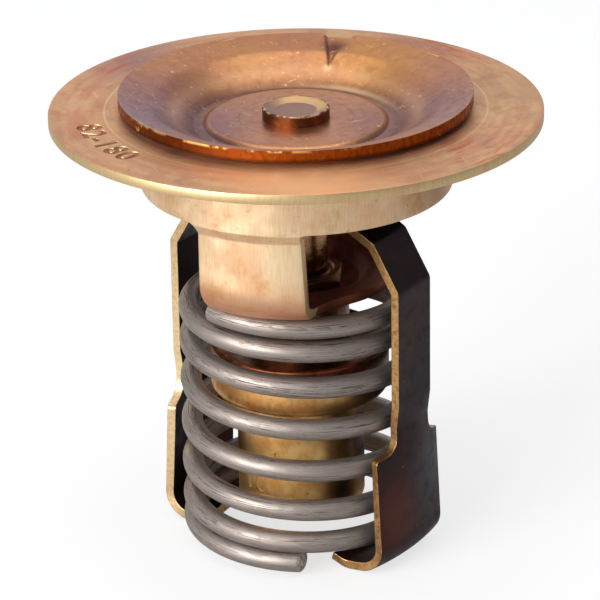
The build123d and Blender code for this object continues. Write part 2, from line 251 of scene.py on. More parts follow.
def effect(name, inputs):
    """A node group with float inputs and a mask as output. Returns its tree, inputs and output node."""
    tree = bpy.data.node_groups.new(name, "ShaderNodeTree")
    for label, value in inputs.items():
        socket = tree.interface.new_socket(label, in_out="INPUT", socket_type="NodeSocketFloat")
        socket.default_value = value
    tree.interface.new_socket("Mask", in_out="OUTPUT", socket_type="NodeSocketFloat")
    return tree, tree.nodes.new("NodeGroupInput").outputs, tree.nodes.new("NodeGroupOutput").inputs


def blotch_effect():
    """Soft blotches: noise of a given scale, eased from 0 at Low to 1 at High."""
    tree, given, out = effect("blotches", {"Scale": 200.0, "Low": 0.45, "High": 0.6, "Seed": 0.0})
    seeded = add(tree, "TexNoise", {"Vector": object_point(tree), "W": given["Seed"],
                 "Scale": given["Scale"], "Detail": 5.0, "Roughness": 0.6}, noise_dimensions="4D")
    tree.links.new(eased(seeded.outputs["Fac"], given["Low"], given["High"]), out["Mask"])
    return tree


def streak_effect():
    """Streaks swept along or round the axis: noise read from the angle, the height and the distance from the
    axis, each times its own scale. The smaller a scale, the longer the streaks run that way."""
    tree, given, out = effect("draw_streaks", {"Across": 60.0, "Along": 60.0, "Out": 0.0, "Low": 0.4,
                                               "High": 0.65})
    split = add(tree, "SeparateXYZ", {"Vector": object_point(tree)}).outputs
    angle = worked(tree, "ARCTAN2", split["Y"], split["X"])
    place = add(tree, "CombineXYZ", {"X": worked(tree, "MULTIPLY", angle, given["Across"]),
                "Y": worked(tree, "MULTIPLY", split["Z"], given["Along"]),
                "Z": worked(tree, "MULTIPLY", axis_distance(tree), given["Out"])})
    streaks = noise(tree, place.outputs[0], Scale=1.0, Detail=4.0, Roughness=0.65)
    tree.links.new(eased(streaks, given["Low"], given["High"]), out["Mask"])
    return tree


def scratch_effect():
    """Fine scratches: the crests of two sets of long thin noise cells, turned different ways."""
    tree, given, out = effect("fine_scratches", {"Scale": 900.0, "Crest": 0.66, "Turn": 0.6})
    crests = []
    for way in (1.0, -1.7):
        spin = add(tree, "CombineXYZ", {"Z": worked(tree, "MULTIPLY", given["Turn"], way)})
        place = add(tree, "Mapping", {"Vector": object_point(tree), "Rotation": spin.outputs[0],
                    "Scale": (9.0, 1.0, 1.0)}, vector_type="TEXTURE")
        cells = noise(tree, place.outputs[0], Scale=given["Scale"], Detail=2.0)
        crest = add(tree, "MapRange", {"Value": cells, "From Min": given["Crest"], "From Max": 0.8})
        crests.append(crest.outputs["Result"])
    tree.links.new(worked(tree, "MAXIMUM", *crests), out["Mask"])
    return tree


BLOTCHES = blotch_effect()
STREAKS = streak_effect()
SCRATCHES = scratch_effect()


def placed(tree, group, **values):
    """Places an effect's node group in a material's tree and returns its mask."""
    node = add(tree, "Group", node_tree=group)
    for name, value in values.items():
        node.inputs[name].default_value = value
    return node.outputs["Mask"]


def blotches(tree, scale, low, high, seed):
    """The mask of a placed blotch effect."""
    return placed(tree, BLOTCHES, Scale=scale, Low=low, High=high, Seed=seed)


def blend_colour(mask, below, above):
    """below where the mask is 0 and above where it is 1."""
    return add(mask.id_data, "Mix", {0: mask, 6: below, 7: above}, data_type="RGBA").outputs[2]


def blend_value(mask, low, high):
    """A number that goes from low to high as the mask goes from 0 to 1."""
    return add(mask.id_data, "MapRange", {"Value": mask, "To Min": low, "To Max": high}).outputs["Result"]


def coated(colour, *coats):
    """Lays coats over a colour in turn. A coat is a mask, the share that covers, and a screen colour."""
    for mask, share, paint in coats:
        cover = mask if share == 1 else blend_value(mask, 0, share)
        colour = blend_colour(cover, colour, tone(*paint))
    return colour


def both(first, second, operation="MULTIPLY"):
    """Two masks joined by a plain sum, product or maximum, kept between 0 and 1."""
    return worked(first.id_data, operation, first, second, use_clamp=True)


def height_mask(tree, low, high):
    """0 at one height, in millimetres, and 1 at another."""
    height = add(tree, "SeparateXYZ", {"Vector": object_point(tree)}).outputs["Z"]
    return eased(height, low * MM, high * MM)


def spot_mask(tree, centre, reach):
    """1 at a point, in millimetres, falling to 0 at a distance from it."""
    away = add(tree, "VectorMath", {0: object_point(tree), 1: [c * MM for c in centre]},
               operation="DISTANCE")
    return eased(away.outputs["Value"], reach * MM, 0.0)


def ring_mask(tree, radius, half_width):
    """1 on a ring about the axis, in millimetres, falling to 0 at half its width to either side."""
    away = worked(tree, "ABSOLUTE", worked(tree, "SUBTRACT", axis_distance(tree), radius * MM))
    return add(tree, "MapRange", {"Value": away, "From Min": 0.0, "From Max": half_width * MM,
               "To Min": 1.0, "To Max": 0.0}).outputs["Result"]


def patch(tree, centre, reach, mottle, most, least):
    """A spot that covers most where another mask is 0 and least where it is 1."""
    return both(spot_mask(tree, centre, reach), blend_value(mottle, most, least))


def metal(name, metallic=1.0):
    """A new material with a metal shader. Returns the material and its tree."""
    material = bpy.data.materials.new(name)
    material.use_nodes = True
    material.node_tree.nodes["Principled BSDF"].inputs["Metallic"].default_value = metallic
    return material, material.node_tree


def dressed(material, colour, roughness, height, depth):
    """Feeds a material its colour, its roughness and a bump whose depth is in millimetres, and returns it."""
    tree = material.node_tree
    bump = add(tree, "Bump", {"Height": height, "Strength": 1.0, "Distance": depth * MM})
    shader = tree.nodes["Principled BSDF"].inputs
    for name, value in (("Base Color", colour), ("Roughness", roughness), ("Normal", bump.outputs["Normal"])):
        tree.links.new(value, shader[name])
    return material


def frame_brass():
    """Drawn brass: pinkish and stained on the flange, warm, mottled and brushed on the skirt and the bridge.
    The struck numerals are painted dark as shade with painted highlights on their raised rims, and a line is
    scribed inside them. The flange's front is painted light and the skirt's right side painted shade."""
    material, tree = metal("frame_brass", 0.88)
    wide = blotches(tree, 70, 0.38, 0.64, 3)
    small = blotches(tree, 420, 0.45, 0.7, 1)
    grey = blotches(tree, 190, 0.52, 0.7, 21)
    blush = blotches(tree, 150, 0.5, 0.68, 27)
    pits = blotches(tree, 1300, 0.68, 0.73, 17)
    swept = placed(tree, STREAKS, Across=2.2, Along=0, Out=700, Low=0.38, High=0.62)
    brushed = placed(tree, STREAKS, Across=110, Along=380, Low=0.4, High=0.72)
    stained = placed(tree, STREAKS, Across=4, Along=0, Out=1300, Low=0.5, High=0.6)
    scratches = placed(tree, SCRATCHES, Scale=2600, Crest=0.68, Turn=0.7)
    nicks = placed(tree, SCRATCHES, Scale=800, Crest=0.66, Turn=0.25)
    top = blend_colour(wide, tone(204, 142, 108), tone(206, 162, 122))
    top = coated(top, (swept, 0.5, (226, 188, 136)), (small, 0.4, (178, 124, 100)),
                 (grey, 0.45, (156, 130, 114)))
    # The two spots at the front are painted light, lifting the flange where the disc shades it. The three
    # others make it purplish to the back left and darker to the back right and to the right.
    for centre, reach, share, paint in (((2, -25.5, SHEET), 12, 0.95, (244, 180, 128)),
                                        ((-1, -19.5, SHEET), 11, 0.9, (254, 202, 146)),
                                        ((-17, 16, SHEET), 12, 0.9, (160, 116, 112)),
                                        ((14, 20, SHEET), 10, 0.8, (180, 126, 100)),
                                        ((26, 4, SHEET), 9, 0.7, (190, 148, 112))):
        top = coated(top, (patch(tree, centre, reach, wide, share, share * 0.7), 1, paint))
    side = blend_colour(wide, tone(250, 220, 176), tone(238, 194, 150))
    side = coated(side, (grey, 0.85, (206, 154, 82)), (blush, 0.7, (236, 176, 134)),
                  (small, 0.5, (252, 226, 186)), (brushed, 0.3, (196, 148, 108)),
                  (height_mask(tree, -12, -18), 0.85, (218, 144, 104)),
                  # Painted shade: the spot on the skirt's right side is darker.
                  (spot_mask(tree, (15, -8, -4), 10), 0.8, (172, 124, 98)),
                  (spot_mask(tree, (-15.5, -8, -12.5), 6), 0.6, (206, 158, 98)),
                  (nicks, 0.5, (150, 104, 70)))
    on_flange = height_mask(tree, 0.6, 1.05)
    colour = blend_colour(on_flange, side, top)
    for centre, reach in (((17, 17.5, SHEET), 10), ((19.5, -15, SHEET), 8), ((-19, 14, SHEET), 7)):
        stain = both(spot_mask(tree, centre, reach), stained)
        colour = coated(colour, (stain, 0.9, (190, 98, 62)))
    # Painted shade in the struck numerals' bottoms, and painted highlights on their raised rims.
    numeral_ring = both(blend_value(ring_mask(tree, 23, 3.2), 0, 12), height_mask(tree, 0.5, 0.7))
    struck = both(height_mask(tree, 1.04, 0.96), numeral_ring)
    burr_highlight = both(both(height_mask(tree, 1.09, 1.05), height_mask(tree, 1, 1.04)), numeral_ring)
    scribed = both(ring_mask(tree, SCRIBED_RADIUS, 0.16), on_flange)
    colour = coated(colour, (struck, 0.8, (134, 84, 56)), (burr_highlight, 1, (246, 214, 168)),
                    (both(scratches, scribed, "MAXIMUM"), 0.55, (238, 210, 160)),
                    (pits, 0.7, (96, 60, 44)))
    rough = both(blend_value(on_flange, 0.38, 0.52), blend_value(small, 0, 0.1), "ADD")
    return dressed(material, colour, rough, both(small, scratches, "ADD"), 0.004)


def shaded_inner_brass():
    """The inside of the skirt and the bridge, painted a dark red-brown as painted shade."""
    material, tree = metal("shaded_inner_brass", 0.75)
    film = blotches(tree, 260, 0.35, 0.7, 15)
    colour = blend_colour(film, tone(138, 76, 50), tone(96, 50, 36))
    return dressed(material, colour, blend_value(film, 0.5, 0.65), film, 0.01)


def cut_brass():
    """Fresh sheared edge of the brass sheet: pale and slightly rough."""
    material, tree = metal("cut_brass")
    drag = placed(tree, STREAKS, Across=60, Along=300, Low=0.3, High=0.75)
    wide = blotches(tree, 130, 0.4, 0.65, 11)
    colour = blend_colour(wide, tone(230, 204, 152), tone(224, 188, 142))
    colour = coated(colour, (drag, 0.4, (192, 154, 106)))
    return dressed(material, colour, blend_value(drag, 0.38, 0.5), drag, 0.006)


def flange_frame():
    """Sheet shell over (place along the section, place round the axis). Beside a leg the window's edge stands
    off by R - sqrt(R^2 - (R - t)^2) at a distance t from its end, which is a fillet of radius R. A leg's one
    side has the wider fillet and leans outwards on its way down."""
    line = rounded(
        [(HUB_HOLE, HUB_TOP), (HUB_RADIUS, HUB_TOP), (HUB_RADIUS + HUB_SLOPE, FLOOR_TOP),
         (FLOOR_EDGE, FLOOR_TOP), (LEG_BORE_RADIUS, FLOOR_TOP), (LEG_BORE_RADIUS, STEP_FOOT),
         (BORE_RADIUS, STEP_TOP), (BORE_RADIUS, SKIRT_END), (BORE_RADIUS, SHEET), (FLANGE_RADIUS, SHEET)],
        [0.6, 1.6, 0, FLOOR_BEND, 0.5, 0.25, 0, SEAT_BEND, 0], longest=0.4, arc_step=0.12)
    across, height = line.T
    far = beside(line, SHEET)
    by_step = (height < STEP_TOP + 1.0) & (height > STEP_FOOT - 1.9) & (across > LEG_BORE_RADIUS - 0.1)
    far[by_step] = line[by_step] + [SHEET, 0]
    start = int(np.argmin(np.hypot(across - FLOOR_EDGE, height - FLOOR_TOP)))
    end = int(np.argmin(np.hypot(across - BORE_RADIUS, height - SKIRT_END)))
    travel = travel_along(line)
    place = np.append(np.linspace(-1, 1, LEG_COLUMNS), np.linspace(-1, 1, WINDOW_COLUMNS + 2)[1:-1])
    place = np.tile(place, 2)
    half_turn = LEG_COLUMNS + WINDOW_COLUMNS
    is_leg = np.arange(len(place)) % half_turn < LEG_COLUMNS
    turn = np.arange(len(place)) // half_turn * math.pi

    def side_angle(floor_fillet, extra):
        """How far round from a leg's middle its edge stands, at each point of the line."""
        stand_off = 0
        for radius, distance in ((floor_fillet, travel - travel[start]),
                                 (SKIRT_FILLET, travel[end] - travel)):
            left = radius - np.clip(distance, 0, radius)
            stand_off = stand_off + radius - np.sqrt(radius**2 - left**2)
        return (LEG_HALF + stand_off / np.maximum(across, FLOOR_EDGE) + extra)[:, None]

    def column_angles(before, after):
        """The angle of each column, between a leg's edge before its middle and the one after it."""
        leg = place * np.where(place > 0, after, before)
        window = after + (place + 1) / 2 * (math.pi - after - before)
        return LEG_CENTRE + turn + np.where(is_leg, leg, window)

    lean = LEG_LEAN * np.clip((STEP_TOP - height) / LEAN_DROP, 0, 1)
    narrow, wide = side_angle(FLOOR_FILLET, 0), side_angle(WIDE_FLOOR_FILLET, lean)
    slant = CUT_SLANT * np.clip((STEP_TOP + 0.1 - height) / CUT_SLANT_DROP, 0, 1)[:, None]
    kept = np.ones((len(line) - 1, len(place)), dtype=bool)
    kept[start:end] = is_leg & np.roll(is_leg, -1)
    vertices, faces, surface = sheet_shell(swung(line, column_angles(narrow + slant, wide + slant)),
                                           swung(far, column_angles(narrow, wide)), kept, True)
    row = np.nonzero(kept)[0]
    # Inner faces low in the cup, and cut edges near the hub, take the painted-shade material.
    surface[:len(row)] = np.where(height[row] < SHADED_INNER_TOP, 2, 0)
    middle = vertices[faces].mean(axis=1)
    surface[(np.hypot(middle[:, 0], middle[:, 1]) < SHADED_INNER_RADIUS) & (surface == 1)] = 2
    return vertices, faces, surface


flange = make_piece("flange_frame_sheet", flange_frame(), "housing",
                    [frame_brass(), cut_brass(), shaded_inner_brass()], bevel=0.09)
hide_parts("flange_frame")


# ==== Numerals on the flange ====
# Marks struck into the flange's left front, read from inside the ring. They stand for a setting and are plain
# figures. The punch has sloping walls, and the bottoms of its marks are painted dark as shade.
NUMERAL_HEIGHT = 2.7
NUMERAL_SPACING = 1.12
NUMERAL_FONT_SCALE = 1.38
NUMERAL_RELIEF = 0.08
NUMERAL_FLARE = 0.13
FLANGE_TEXT_RADIUS = 24.2
FLANGE_TEXT_SPREAD = 22.6
FLANGE_TEXT_START = math.radians(-168.0)


def numerals(text, size, spacing, relief, flare):
    """Vertices and faces of a line of text in millimetres, half its relief to either side of z = 0, then as
    far again as its flare, over which it widens. It is made a mesh before anything moves it."""
    curve = bpy.data.curves.new("numerals", "FONT")
    curve.body = text
    curve.size = size * NUMERAL_FONT_SCALE
    curve.space_character = spacing
    curve.extrude = relief / 2
    curve.bevel_depth = flare
    curve.bevel_resolution = 1
    curve.resolution_u = 4
    holder = bpy.data.objects.new("numerals", curve)
    mesh = bpy.data.meshes.new_from_object(holder)
    bpy.data.objects.remove(holder)
    return np.array([v.co for v in mesh.vertices]), [tuple(p.vertices) for p in mesh.polygons]


def cut_away(piece, name, points, faces, sharp=35.0):
    """Takes the closed form of some millimetre points and faces out of a piece for good."""
    mesh = bpy.data.meshes.new(name)
    mesh.from_pydata((points * MM).tolist(), [], [tuple(face) for face in faces])
    weld(mesh, outwards=True)
    cutter = set_out(name, mesh)
    cut = piece.modifiers.new("cut", "BOOLEAN")
    cut.object = cutter
    cut.operation = "DIFFERENCE"
    cut.solver = "EXACT"
    bpy.context.view_layer.update()
    piece.data = bpy.data.meshes.new_from_object(piece.evaluated_get(bpy.context.evaluated_depsgraph_get()))
    piece.modifiers.clear()
    piece.data.set_sharp_from_angle(angle=math.radians(sharp))
    bpy.data.objects.remove(cutter)


points, faces = numerals("82-180", NUMERAL_HEIGHT, NUMERAL_SPACING, NUMERAL_RELIEF, NUMERAL_FLARE)
points = about_axis(FLANGE_TEXT_RADIUS - points[:, 1], FLANGE_TEXT_START + points[:, 0] / FLANGE_TEXT_SPREAD,
                    SHEET + points[:, 2])
cut_away(flange, "flange_punch", points, faces)


# ==== Valve disc ====
# A dished bronze-brown disc with a ring groove round its flat centre and a V-shaped notch pressed into its
# rim. It rests on the bore's bend and closes it. The patina is satin, with bright nicks along the rim.
DISC_SHEET = 1.2
DISC_RADIUS = 19.36
DISC_HOLE = 2.62
DISC_FLAT = -0.1
GROOVE_FLOOR = -0.7
RIM_TOP = 3.05
RIM_SLOPE = math.radians(17.0)
NOTCH_ANGLE = math.radians(75.0)
NOTCH_WIDTH = 3.6
NOTCH_LENGTH = 5.4
NOTCH_DEPTH = 0.42
NOTCH_EASE = 0.5
FINE_HALF = math.radians(7)
KNOCKS = (480.0, 0.5, 0.58, 23.0)


def disc_bronze():
    """Satin brown patina with bright specks and scratches. It is painted purplish to the sides as painted
    shade with a painted bluish sheen, and golden to the back as painted light.
    """
    material, tree = metal("disc_bronze", 0.95)
    wide = blotches(tree, 75, 0.35, 0.68, 5)
    small = blotches(tree, 900, 0.4, 0.72, 2)
    specks = blotches(tree, 1500, 0.63, 0.68, 8)
    scratches = placed(tree, SCRATCHES, Scale=2600, Crest=0.67, Turn=0.5)
    colour = blend_colour(wide, tone(194, 134, 94), tone(178, 118, 98))
    # The spots to the left and right are painted shade with a painted bluish sheen, the two to the back are
    # painted light, and the last one makes the front of the flat warmer.
    for centre, reach, share, paint in (((-14, -5, 0.5), 17, 1, (112, 72, 96)),
                                        ((14, -4, 0.5), 14, 0.95, (124, 78, 82)),
                                        ((9, 13, 1), 12, 0.8, (204, 146, 84)),
                                        ((-5, 13, 1), 10, 0.6, (208, 154, 90)),
                                        ((0, -6, 0), 9, 0.9, (204, 134, 88))):
        colour = coated(colour, (patch(tree, centre, reach, wide, share, share * 0.75), 1, paint))
    # A painted highlight on the cone's lowest part, to the back right.
    foot_highlight = both(ring_mask(tree, 11.5, 0.5), spot_mask(tree, (7.5, 8.5, -0.5), 10))
    notch_way = np.array([math.cos(NOTCH_ANGLE), math.sin(NOTCH_ANGLE)])
    knocked = both(ring_mask(tree, DISC_RADIUS - 0.05, 0.42), blotches(tree, *KNOCKS))
    colour = coated(colour, (small, 0.25, (120, 80, 66)),
                    # The dark ring over the groove is painted shade, and the light rings at its inner crest
                    # and on the cone are painted highlights. The fine dark ring about the head is a scribed
                    # line.
                    (ring_mask(tree, 11.2, 1.7), 0.75, (96, 62, 62)),
                    (ring_mask(tree, 9.7, 0.4), 0.5, (214, 158, 108)),
                    (ring_mask(tree, 6.3, 0.1), 0.5, (96, 60, 48)),
                    (ring_mask(tree, 13.4, 1.2), 0.3, (220, 172, 130)),
                    (foot_highlight, 0.6, (226, 190, 148)),
                    # The dark spot in the notch's mouth is painted shadow, and the light spot at its tip a
                    # painted highlight.
                    (spot_mask(tree, (*(17.4 * notch_way), 2), 2.4), 0.95, (104, 56, 50)),
                    (spot_mask(tree, (*(13.9 * notch_way), 0.9), 0.8), 0.6, (236, 206, 160)),
                    (both(specks, scratches, "MAXIMUM"), 0.65, (236, 196, 130)),
                    (both(knocked, spot_mask(tree, (-9, -19, 3), 26)), 1, (246, 210, 140)))
    return dressed(material, colour, blend_value(small, 0.3, 0.42), small, 0.003)


def disc_edge():
    """The blanked rim of the disc: orange-brown, streaked along the cut, bright where it has been knocked."""
    material, tree = metal("disc_edge")
    drag = placed(tree, STREAKS, Across=34, Along=800, Low=0.3, High=0.7)
    nicks = blotches(tree, 620, 0.66, 0.7, 4)
    top_line = both(both(height_mask(tree, 2.72, 2.95), blotches(tree, *KNOCKS)),
                          spot_mask(tree, (-9, -19, 3), 30))
    colour = blend_colour(drag, tone(182, 96, 30), tone(130, 62, 18))
    # The dark patch on the left front is painted shade, darkening the edge that faces the key lamp.
    colour = coated(colour, (patch(tree, (-12, -15, 2), 16, drag, 1, 0.7), 1, (100, 48, 20)),
                    (height_mask(tree, 2.2, 1.9), 0.7, (78, 34, 14)),
                    (both(nicks, top_line, "MAXIMUM"), 1, (244, 196, 118)))
    return dressed(material, colour, blend_value(drag, 0.32, 0.5), drag, 0.006)


def valve_disc():
    """Sheet shell with crowded columns at the notch. The notch is a wedge seen from above, as deep as its
    depth     except over a narrow slope along its two sides."""
    line = rounded([(DISC_HOLE, DISC_FLAT), (9.5, DISC_FLAT), (10.2, GROOVE_FLOOR), (11.2, GROOVE_FLOOR),
                    (16.01, 2.03), (DISC_RADIUS, RIM_TOP)], [1.1, 0.45, 0.45, 3], longest=0.45, arc_step=0.1)
    far = beside(line, DISC_SHEET)
    past = np.maximum(far[:, 0] - DISC_RADIUS, 0)
    far -= np.stack([past, past * math.tan(RIM_SLOPE)], axis=1)
    off_notch = np.append(np.linspace(-FINE_HALF, FINE_HALF, 72),
                          np.linspace(FINE_HALF, 2 * math.pi - FINE_HALF, 200)[1:-1])
    top = swung(line, NOTCH_ANGLE + off_notch)
    across = line[:, :1]
    sideways = np.where(np.cos(off_notch) > 0, np.abs(across * np.sin(off_notch)), np.inf)
    room = NOTCH_WIDTH / 2 * (1 - (DISC_RADIUS - across) / NOTCH_LENGTH) - sideways
    top[..., 2] -= NOTCH_DEPTH * np.clip(room / NOTCH_EASE, 0, 1)
    kept = np.ones((len(line) - 1, len(off_notch)), dtype=bool)
    return sheet_shell(top, swung(far, NOTCH_ANGLE + off_notch), kept, True)


disc = make_piece("valve_disc_sheet", valve_disc(), "valve", [disc_bronze(), disc_edge()],
                  sharp=28.0, bevel=0.08)
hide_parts("valve_disc")


# ==== Piston socket with its head ====
# A turned brass spindle. Its dished head clamps the disc, its neck carries the sleeve and the stirrup's
# crown, and its blind bore, with a cross-drilled vent near the mouth, takes the piston's end.
HEAD_OUTLINE = [(0, 0.7), (2.1, 0.7), (2.25, 0.74), (3.25, 1.08), (3.42, 1.14), (3.56, 1.12), (3.68, 0.98),
                (3.7, DISC_FLAT)]
NECK_OUTLINE = [(2.6, DISC_FLAT), (2.6, -8.72)]
SHANK_OUTLINE = [(3.25, -8.72), (3.25, -10.4), (3.12, -10.5), (3.12, -10.75), (3.25, -10.85), (3.25, -17.25),
                 (3.05, -17.45)]
BLIND_BORE_OUTLINE = [(1.95, -17.45), (1.8, -17.3), (1.8, -3.1), (0, -3)]
SOCKET_CREASE = 32.0
VENT_RADIUS = 0.28
VENT_HEIGHT = -16.55
VENT_REACH = 4.0
STIRRUP_ANGLE = math.radians(-34.7)


def turned_brass(name, light, dark, rough):
    """Turned brass: fine rings from the tool round the part, and a browned film over them in blotches."""
    material, tree = metal(name)
    film = blotches(tree, 350, 0.38, 0.66, 6)
    rings = placed(tree, STREAKS, Across=4, Along=9000, Out=9000, Low=0.35, High=0.65)
    colour = blend_colour(film, tone(*light), tone(*dark))
    colour = coated(colour, (rings, 0.25, dark))
    return dressed(material, colour, blend_value(film, rough, rough + 0.14), rings, 0.005)


def spindle_brass():
    """Brown on the head's side, dull on the dish's floor, with a knocked bright rim. The dish's wall is
    painted golden on its lit side as painted light. The shank below the disc is lighter and smoother."""
    material, tree = metal("spindle_brass")
    film = blotches(tree, 420, 0.36, 0.66, 6)
    broken = blotches(tree, 1100, 0.46, 0.58, 14)
    shank = height_mask(tree, -7.5, -8.5)
    within = blend_value(ring_mask(tree, 0, 3.5), 0, 12)
    dish = both(within, height_mask(tree, 0.5, 0.6))
    lit_side = blend_value(spot_mask(tree, (1.6, 2.6, 1), 5.2), 0, 2.2)
    # Painted light: the lit side of the dish's wall is golden.
    wall = both(dish, both(height_mask(tree, 0.72, 0.8), lit_side))
    rim = both(ring_mask(tree, 3.52, 0.26), height_mask(tree, 0.9, 1.08))
    rim = both(rim, broken)
    colour = blend_colour(film, tone(140, 86, 50), tone(84, 50, 34))
    colour = coated(colour, (shank, 1, (186, 138, 98)), (dish, 1, (158, 124, 112)),
                    (wall, 1, (218, 178, 128)), (rim, 1, (236, 198, 142)))
    rough = both(blend_value(shank, 0.44, 0.2), blend_value(film, 0, 0.1), "ADD")
    return dressed(material, colour, rough, broken, 0.01)


def ring_quads(i, j, rings, count):
    """Quads between ring i and the next ring, at place j on them. The last ring joins the first."""
    down, beyond = (i + 1) % rings, (j + 1) % count
    return np.stack([i * count + j, down * count + j, down * count + beyond, i * count + beyond], axis=1)


def revolved(outline, count=96):
    """Vertices and quads of a closed outline of (radius, height) points swung once round the Z axis."""
    outline = np.asarray(outline, dtype=float)
    rings = len(outline)
    i, j = np.indices((rings, count))
    off_axis = (outline[i, 0] > 0) | (outline[(i + 1) % rings, 0] > 0)
    grid = swung(outline, np.linspace(0, 2 * math.pi, count, endpoint=False))
    return grid.reshape(-1, 3), ring_quads(i[off_axis], j[off_axis], rings, count)


def turned(points, angle):
    """Points turned about the Z axis: x cos(a) - y sin(a) and x sin(a) + y cos(a)."""
    x, y, z = np.moveaxis(points, -1, 0)
    cos, sin = math.cos(angle), math.sin(angle)
    return np.stack([x * cos - y * sin, x * sin + y * cos, z], axis=-1)


spindle = revolved(HEAD_OUTLINE + NECK_OUTLINE + SHANK_OUTLINE + BLIND_BORE_OUTLINE, 112)
socket = make_piece("turned_piston_socket", spindle, "valve", [spindle_brass()],
                    SOCKET_CREASE)
points, faces = revolved([(0, 0), (VENT_RADIUS, 0), (VENT_RADIUS, VENT_REACH), (0, VENT_REACH)], 24)
points = turned(points[:, ::-1], STIRRUP_ANGLE) + [0, 0, VENT_HEIGHT]
cut_away(socket, "vent_drill", points, faces, SOCKET_CREASE)
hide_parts("piston_socket")


# ==== Spacer sleeve ====
# A plain turned brass tube that slips over the spindle's neck and sets the distance from disc to stirrup.
# Both its ends are chamfered on the outside.
SLEEVE_OUTLINE = [(2.65, -1.32), (3.95, -1.32), (4.2, -1.57), (4.2, -7.43), (3.95, -7.68), (2.65, -7.68)]

sleeve = make_piece("turned_sleeve", revolved(SLEEVE_OUTLINE), "valve",
                    [turned_brass("sleeve_brass", (196, 150, 92), (140, 92, 56), 0.3)], sharp=30, bevel=0.05)
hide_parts("spacer_sleeve")


# ==== Stirrup ====
# One brass strip bent over the spindle's shoulder: crown, two sloping roofs, two straps, and two broad curved
# claws that hook in under the spring. Its faces are brown and blue-black. Its sheared edges are still bright.
STIRRUP_SHEET = 1.0
STRAP_HALF = 3.2
CLAW_HALF = 6.1
CROWN_RADIUS = 4.6
CROWN_FLAT = 3.3
CROWN_TOP = -7.7
LEG_REACH = 15.3
BOW_TOP = -30.2
CLAW_TOP = -32.8
FLATTEN_TOP = -36.0
FLATTEN_DROP = 10.0
HALF_PATH = [(0, CROWN_TOP), (CROWN_RADIUS, CROWN_TOP), (12.1, -11.4), (LEG_REACH, -16.6),
             (LEG_REACH, BOW_TOP), (LEG_REACH, CLAW_TOP), (16.16, -49.3), (11.6, -49.85), (10.1, -49.15)]
HALF_BENDS = [1.2, 1.2, 1.2, 0, 0, 3, 2]
WIDTH_OUTLINE = [(STRAP_HALF, -30), (STRAP_HALF, -35.3), (CLAW_HALF, -35.85), (CLAW_HALF, -50.5)]


def stirrup_patina():
    """Dark oxide film, reddish and greenish in patches, with a few rubbed spots through to the brass."""
    material, tree = metal("stirrup_patina", 0.9)
    wide = blotches(tree, 110, 0.4, 0.62, 9)
    small = blotches(tree, 700, 0.42, 0.7, 7)
    rubbed = blotches(tree, 1300, 0.66, 0.72, 3.5)
    colour = blend_colour(wide, tone(46, 38, 42), tone(62, 42, 38))
    colour = coated(colour, (small, 0.5, (36, 34, 44)),
                    (patch(tree, (10.5, -12, -43), 7.5, wide, 1, 0.5), 1, (98, 54, 44)),
                    (patch(tree, (-10.5, 12, -43), 7.5, wide, 1, 0.5), 1, (98, 54, 44)),
                    (patch(tree, (15, -6, -40), 6, wide, 1, 0.5), 1, (52, 56, 66)),
                    (rubbed, 0.5, (150, 112, 80)))
    return dressed(material, colour, blend_value(small, 0.34, 0.5), small, 0.006)


def stirrup_edge():
    """The strip's sheared edge: golden brass dragged across its thickness, with painted light on the far
    strap.
    """
    material, tree = metal("stirrup_edge")
    drag = blotches(tree, 1600, 0.35, 0.7, 1.5)
    colour = blend_colour(drag, tone(204, 160, 106), tone(140, 100, 62))
    # Painted light: the far strap's edges, which face the key lamp, are paler.
    colour = coated(colour, (patch(tree, (-15, 9, -33), 34, drag, 1, 0.6), 1, (254, 226, 176)))
    return dressed(material, colour, blend_value(drag, 0.34, 0.5), drag, 0.01)


def half_width(reach, height):
    """Half the strip's width: the claw's and the strap's with an eased shoulder between them, and on the
    crown the distance from a point of the path to a circle about the axis."""
    outline = rounded(WIDTH_OUTLINE, [1.9, 0.5], longest=5, arc_step=0.1)
    width = np.where(height < -30, np.interp(-height, -outline[:, 1], outline[:, 0]), STRAP_HALF)
    crown = np.sqrt(np.maximum(CROWN_RADIUS**2 - reach**2, STRAP_HALF**2))
    return np.where(reach < CROWN_FLAT, crown, width)[:, None]


def stirrup():
    """Grid over the path from one claw's tip across the crown to the other's, and over the width. A point
    at w across a flat stretch keeps its distance R from the axis plane. On a claw that distance is
    sqrt(R^2 - w^2), and lower down the claw is half as bowed."""
    half = rounded(HALF_PATH, HALF_BENDS, longest=0.28, arc_step=0.12)
    count = np.where((half[:-1, 1] < -33.8) & (half[:-1, 1] > -36.3), 7, 1)
    spots = np.append(np.concatenate([i + np.arange(n) / n for i, n in enumerate(count)]), len(count))
    half = np.stack([np.interp(spots, np.arange(len(half)), half[:, k]) for k in (0, 1)], axis=1)
    reach, height = half[:, :1], half[:, 1:]
    across = half_width(half[:, 0], half[:, 1]) * np.linspace(-1, 1, 25)
    bow = np.where(height < CLAW_TOP, 1, np.clip((BOW_TOP - height) / (BOW_TOP - CLAW_TOP), 0, 1))
    arc = np.sqrt(np.maximum(reach**2 - across**2, 0))
    arc = arc[:, :1] + (arc - arc[:, :1]) * (1 - 0.5 * np.clip((FLATTEN_TOP - height) / FLATTEN_DROP, 0, 1))
    out = (1 - bow) * reach + bow * arc
    side = np.stack([out, across, np.broadcast_to(height, across.shape)], axis=-1)
    outer = np.concatenate([side[:0:-1] * [-1, 1, 1], side])
    normal = np.cross(np.gradient(outer, axis=0), np.gradient(outer, axis=1))
    inner = outer - STIRRUP_SHEET * normal / np.linalg.norm(normal, axis=-1)[..., None]
    kept = np.ones((len(outer) - 1, across.shape[1] - 1), dtype=bool)
    return sheet_shell(turned(outer, STIRRUP_ANGLE), turned(inner, STIRRUP_ANGLE), kept, False)


